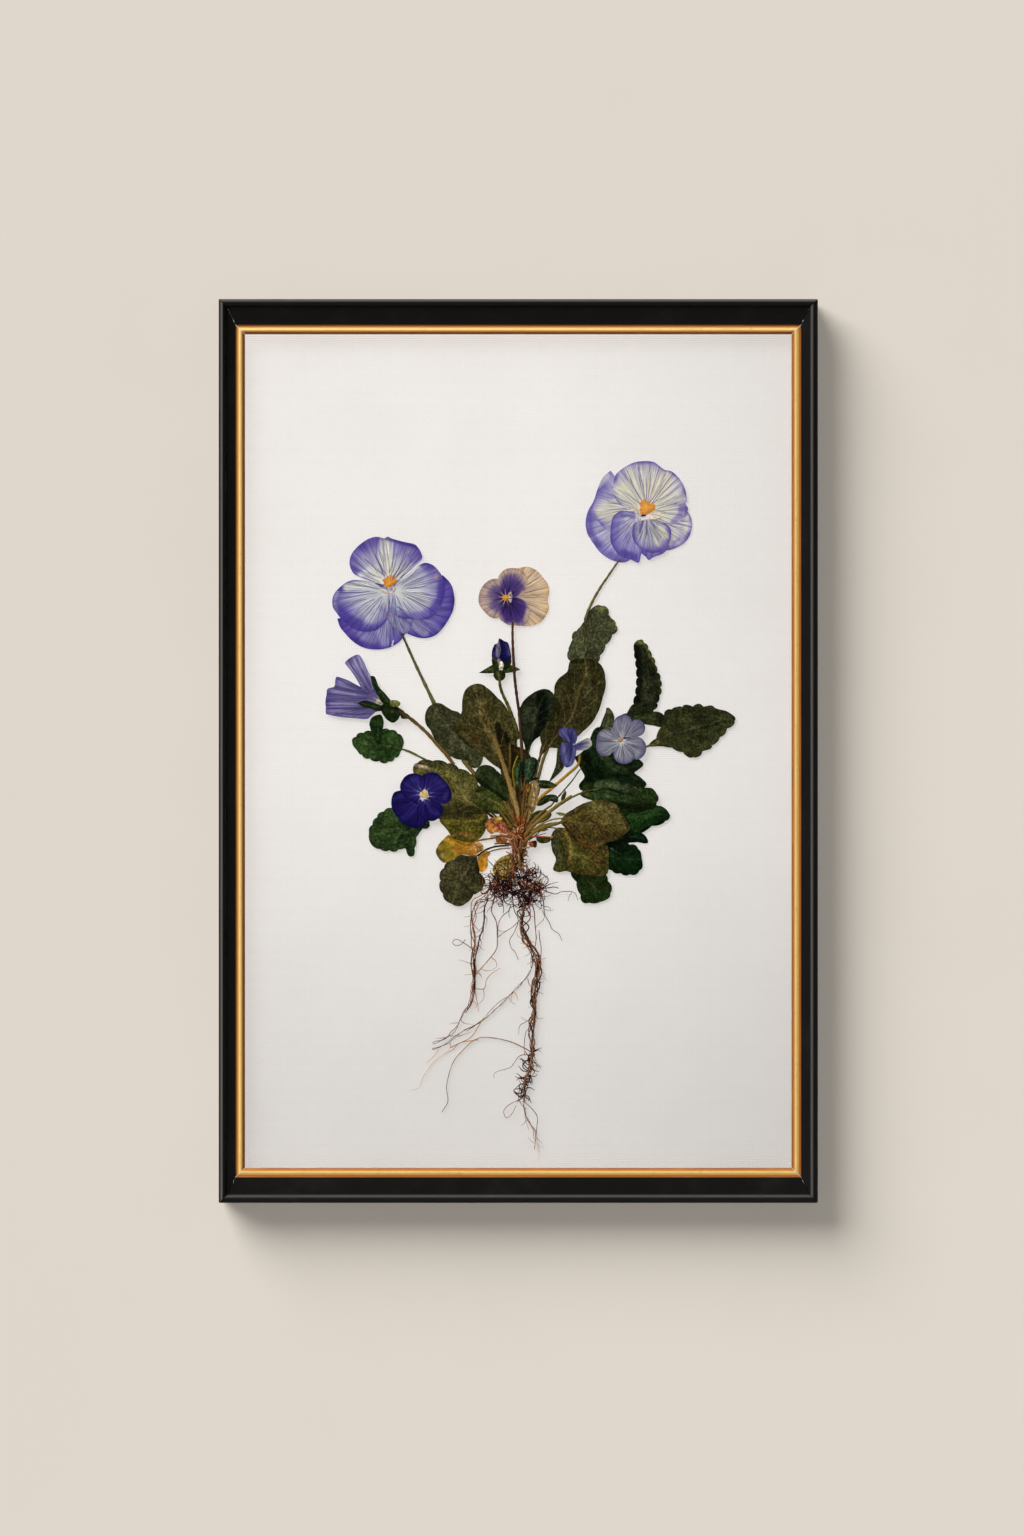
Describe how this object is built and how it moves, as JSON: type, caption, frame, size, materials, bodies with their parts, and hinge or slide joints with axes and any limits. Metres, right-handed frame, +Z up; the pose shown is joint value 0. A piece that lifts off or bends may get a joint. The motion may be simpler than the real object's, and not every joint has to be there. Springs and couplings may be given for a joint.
{
  "type": "pressed flower frame",
  "caption": "Whole pansy plant with its roots, leaves and flowers, pressed flat on paper under glass in a slim black frame with a gilt slip, on a sawtooth hanger.",
  "frame": {"origin": "the point on the wall plane where the middle notch of the sawtooth hanger bears on its nail", "axes": "+Z up along the frame's height, -Y out of the picture towards the viewer, +Y into the wall, +X to the viewer's right"},
  "size_m": [0.3, 0.0218, 0.4525],
  "materials": {
    "black_lacquer": "satin black lacquer",
    "gilt": "toned gold gilding",
    "clear_glass": "clear, low reflection",
    "sheet_paper": "matt laid paper",
    "backing_card": "matt brown card",
    "fitting_steel": "brushed",
    "bumper_felt": "matt felt",
    "leaf_green": "dry pressed leaf",
    "leaf_olive": "dry pressed leaf, browned",
    "leaf_yellow": "dry pressed leaf, yellowed",
    "petal": "dry pressed petal, thin",
    "stalk": "dry pressed stalk",
    "root": "dry root fibre"
  },
  "bodies": {
    "root": {"frame_top_rail": "black_lacquer", "frame_bottom_rail": "black_lacquer", "frame_left_stile": "black_lacquer", "frame_right_stile": "black_lacquer", "gilt_slip_top": "gilt", "gilt_slip_bottom": "gilt", "gilt_slip_left": "gilt", "gilt_slip_right": "gilt", "glass_pane": "clear_glass", "specimen_sheet": "sheet_paper", "backing_board": "backing_card", "hanger": "fitting_steel", "framers_point_1": "fitting_steel", "framers_point_2": "fitting_steel", "framers_point_3": "fitting_steel", "framers_point_4": "fitting_steel", "bumper_left": "bumper_felt", "bumper_right": "bumper_felt", "leaf_far_left": "leaf_green", "leaf_lower_left": "leaf_green", "leaf_olive_left": "leaf_olive", "leaf_olive_lower": "leaf_olive", "leaf_yellow": "leaf_yellow", "leaf_orange": "leaf_yellow", "leaf_grey_round": "leaf_green", "leaf_grey_upper": "leaf_green", "leaf_olive_tall": "leaf_olive", "leaf_dark_inner": "leaf_green", "leaf_green_inner": "leaf_green", "leaf_dark_upright": "leaf_green", "leaf_brown_tall": "leaf_olive", "leaf_folded_top": "leaf_green", "leaf_narrow": "leaf_green", "leaf_cross": "leaf_green", "leaf_right": "leaf_olive", "leaf_small_pointed": "leaf_green", "leaf_folded_dark": "leaf_green", "leaf_broad_dark": "leaf_green", "leaf_green_right": "leaf_green", "leaf_dark_tip": "leaf_green", "leaf_dark_round": "leaf_green", "leaf_olive_brown": "leaf_olive", "leaf_olive_right": "leaf_olive", "leaf_lowest": "leaf_green", "bloom_left": "petal", "bloom_bicolour": "petal", "bloom_right": "petal", "bloom_side_left": "petal", "bloom_dark": "petal", "bloom_pale": "petal", "bloom_side_small": "petal", "bud": "petal", "stalk_left_bloom": "stalk", "stalk_bicolour": "stalk", "stalk_right_bloom": "stalk", "crown": "stalk", "root_knob": "root", "root_mat": "root", "roots_left": "root", "roots_right": "root"}
  },
  "joints": []
}
